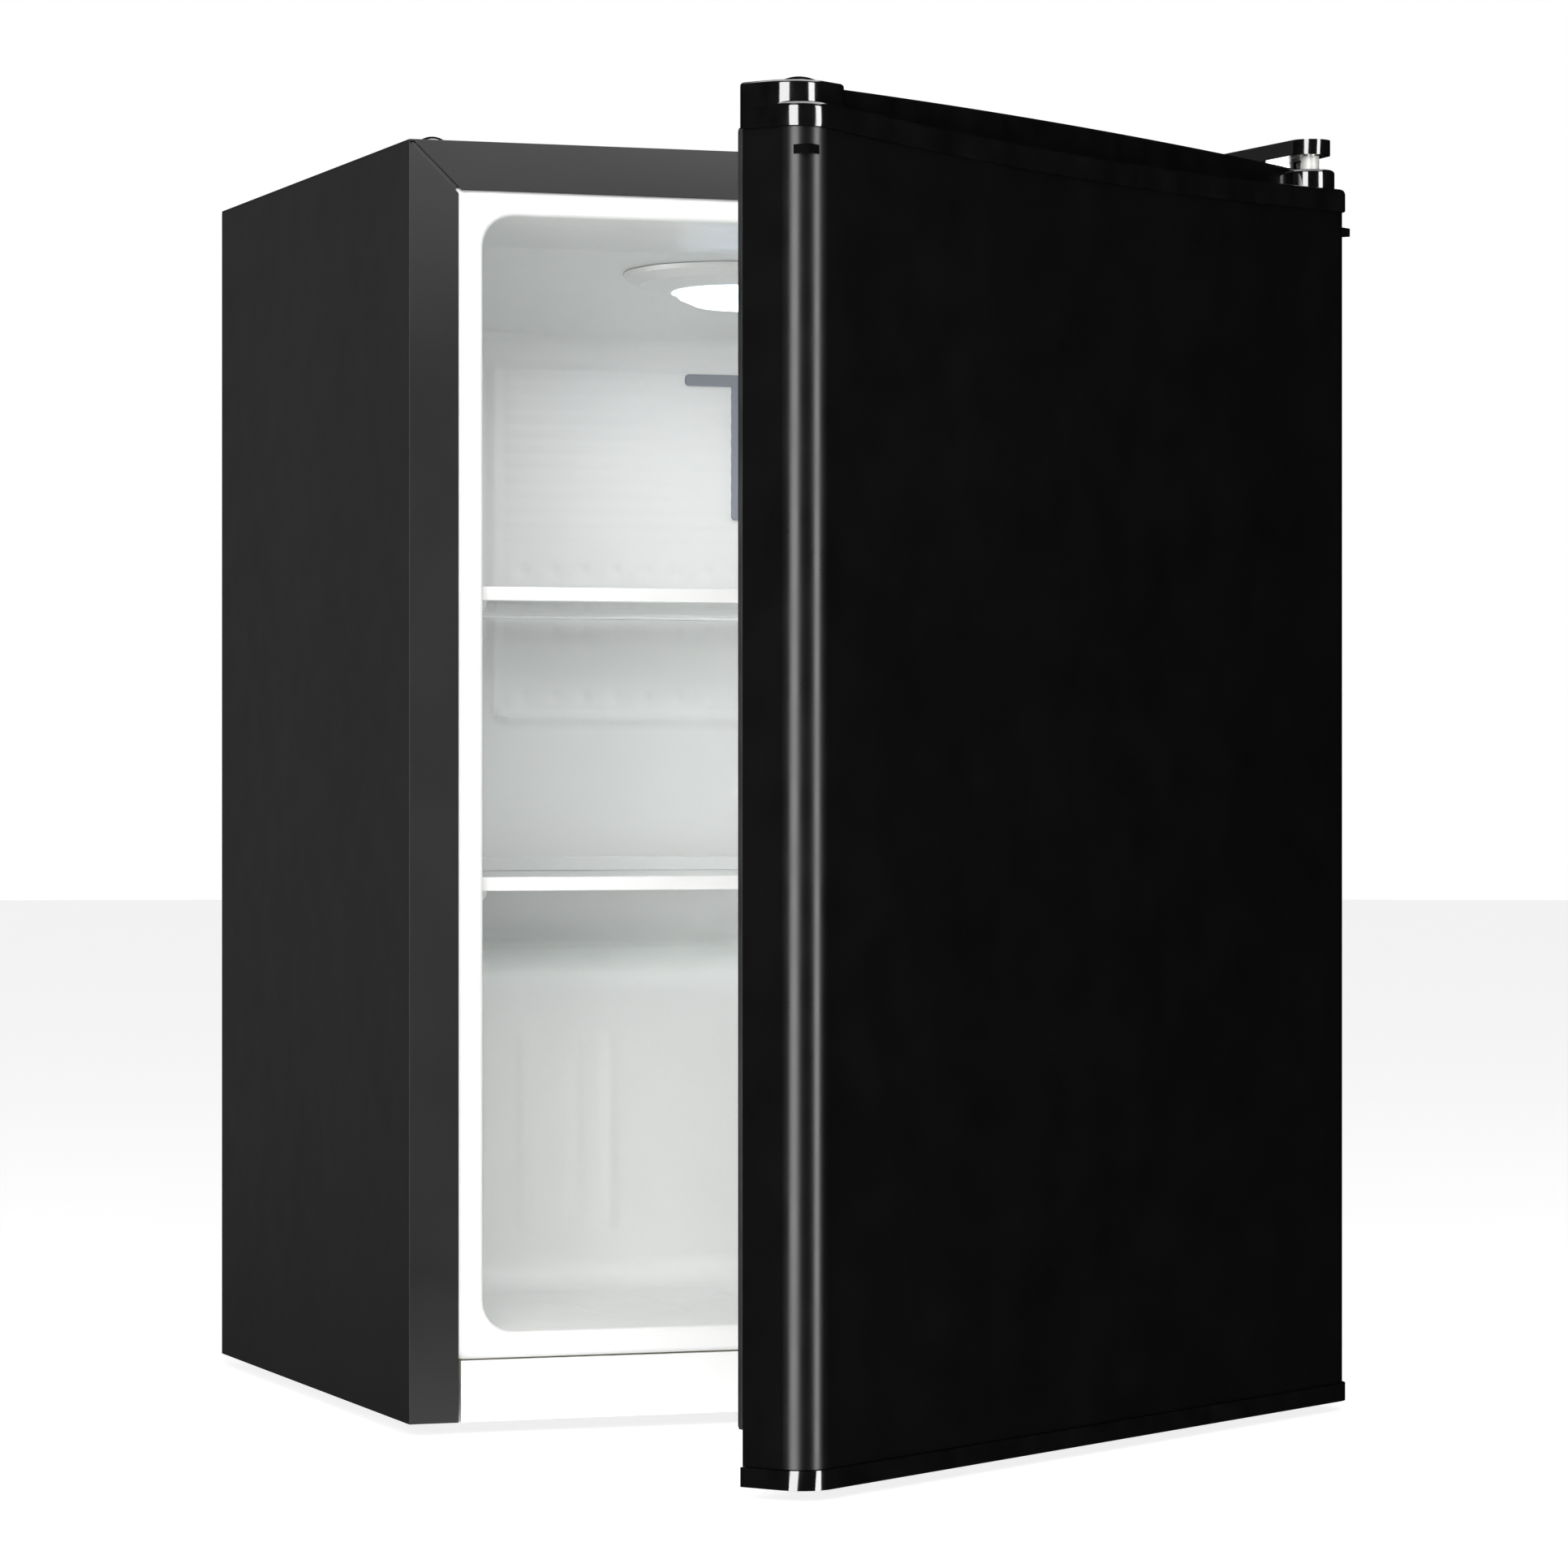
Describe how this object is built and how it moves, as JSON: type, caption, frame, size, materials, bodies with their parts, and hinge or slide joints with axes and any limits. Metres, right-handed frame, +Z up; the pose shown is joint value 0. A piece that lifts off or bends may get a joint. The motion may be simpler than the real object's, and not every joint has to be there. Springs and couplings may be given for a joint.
{
  "type": "mini fridge",
  "caption": "Table-top refrigerator with a black steel cabinet, a side-hinged door with a top grip recess, glass shelves, an inside lamp and a compressor at the rear.",
  "frame": {"origin": "on the floor under the middle of the whole object, with the door ajar as stored", "axes": "+Z up, +Y from the door to the condenser at the back, +X to the hinge side, which is on the right when facing the door"},
  "size_m": [0.4636, 0.6789, 0.6188],
  "materials": {
    "cabinet_paint": "satin",
    "galvanised_steel": "satin",
    "white_plastic": "gloss",
    "insulation_foam": "matte",
    "black_gloss_plastic": "gloss",
    "door_paint": "satin",
    "gasket_rubber": "matte",
    "magnet_strip": "matte",
    "hinge_steel": "satin",
    "bearing_plastic": "satin",
    "shelf_glass": "gloss",
    "lamp_lens": "gloss",
    "circuit_board": "satin",
    "grey_plastic": "satin",
    "dial_plastic": "satin",
    "clear_plastic": "gloss",
    "black_enamel": "satin",
    "copper": "satin",
    "aluminium_sheet": "satin",
    "black_plastic": "matte",
    "drain_plastic": "satin"
  },
  "bodies": {
    "cabinet": {"side_panel_left": "cabinet_paint", "side_panel_right": "cabinet_paint", "top_panel": "cabinet_paint", "back_panel": "cabinet_paint", "bay_panel": "galvanised_steel", "base_pan": "galvanised_steel", "compressor_base_rail": "galvanised_steel", "inner_liner": "white_plastic", "kick_plate": "white_plastic", "upper_shelf_trim": "white_plastic", "lower_shelf_trim": "white_plastic", "thermostat_housing": "white_plastic", "door_switch_housing": "white_plastic", "lamp_housing": "white_plastic", "cabinet_foam": "insulation_foam", "upper_hinge_cover": "black_gloss_plastic", "hinge_hole_plug": "black_gloss_plastic", "compressor_grommets": "gasket_rubber", "upper_hinge_bracket": "hinge_steel", "lower_hinge_bracket": "hinge_steel", "upper_hinge_pin": "hinge_steel", "lower_hinge_pin": "hinge_steel", "hinge_screws": "hinge_steel", "upper_shelf_glass": "shelf_glass", "lower_shelf_glass": "shelf_glass", "lamp_lens": "lamp_lens", "led_board": "circuit_board", "sensor_bracket": "grey_plastic", "compressor": "black_enamel", "condenser_coil": "black_enamel", "condenser_wires": "black_enamel", "condenser_brackets": "black_enamel", "filter_drier": "copper", "refrigerant_tubes": "copper", "evaporator_plate": "aluminium_sheet", "corner_gussets": "black_plastic", "start_relay_cover": "black_plastic", "cable_gland": "black_plastic", "rear_feet": "black_plastic", "drain_tube": "drain_plastic", "drip_tray": "drain_plastic"},
    "door": {"door_skin": "door_paint", "door_liner": "white_plastic", "door_foam": "insulation_foam", "door_gasket": "gasket_rubber", "gasket_magnets": "magnet_strip", "door_top_cap": "black_gloss_plastic", "door_bottom_cap": "black_gloss_plastic", "door_top_plug": "black_gloss_plastic", "hinge_bushes": "bearing_plastic"},
    "rack_top": {"door_rack_top": "clear_plastic"},
    "rack_middle": {"door_rack_middle": "clear_plastic"},
    "rack_bottom": {"door_rack_bottom": "clear_plastic"},
    "thermostat_dial": {"thermostat_knob": "dial_plastic"},
    "switch_plunger": {"door_switch_plunger": "white_plastic"},
    "foot_left": {"foot_pad_left": "black_plastic"},
    "foot_right": {"foot_pad_right": "black_plastic"},
    "foot_ring_left": {"foot_screw_left": "black_plastic"},
    "foot_ring_right": {"foot_screw_right": "black_plastic"}
  },
  "joints": [
    {"name": "door_hinge", "type": "hinge", "parent": "cabinet", "child": "door", "pos_m": [0.21621, -0.07276, 0.306], "axis": [0, 0, 1], "range_deg": [-35, 75]},
    {"name": "rack_top_lift", "type": "slide", "parent": "door", "child": "rack_top", "axis": [0, 0, 1], "range_m": [0, 0.02]},
    {"name": "rack_middle_lift", "type": "slide", "parent": "door", "child": "rack_middle", "axis": [0, 0, 1], "range_m": [0, 0.02]},
    {"name": "rack_bottom_lift", "type": "slide", "parent": "door", "child": "rack_bottom", "axis": [0, 0, 1], "range_m": [0, 0.02]},
    {"name": "thermostat_turn", "type": "hinge", "parent": "cabinet", "child": "thermostat_dial", "pos_m": [0.16871, 0.06524, 0.503], "axis": [-1, 0, 0], "range_deg": [-150, 150]},
    {"name": "switch_press", "type": "slide", "parent": "cabinet", "child": "switch_plunger", "axis": [0, 1, 0], "range_m": [0, 0.004], "stiffness_N_per_m": 250},
    {"name": "foot_left_turn", "type": "hinge", "parent": "foot_left", "child": "foot_ring_left", "pos_m": [-0.19579, 0.04525, 0.004], "axis": [0, 0, 1], "range_deg": [0, 2304]},
    {"name": "foot_left_extend", "type": "slide", "parent": "cabinet", "child": "foot_left", "axis": [0, 0, -1], "range_m": [0, 0.008]},
    {"name": "foot_right_turn", "type": "hinge", "parent": "foot_right", "child": "foot_ring_right", "pos_m": [0.19221, 0.04525, 0.004], "axis": [0, 0, 1], "range_deg": [0, 2304]},
    {"name": "foot_right_extend", "type": "slide", "parent": "cabinet", "child": "foot_right", "axis": [0, 0, -1], "range_m": [0, 0.008]}
  ],
  "couplings": [
    {"joint": "foot_left_turn", "follows": "foot_left_extend", "rad_per_m": 5026.5},
    {"joint": "foot_right_turn", "follows": "foot_right_extend", "rad_per_m": 5026.5}
  ]
}
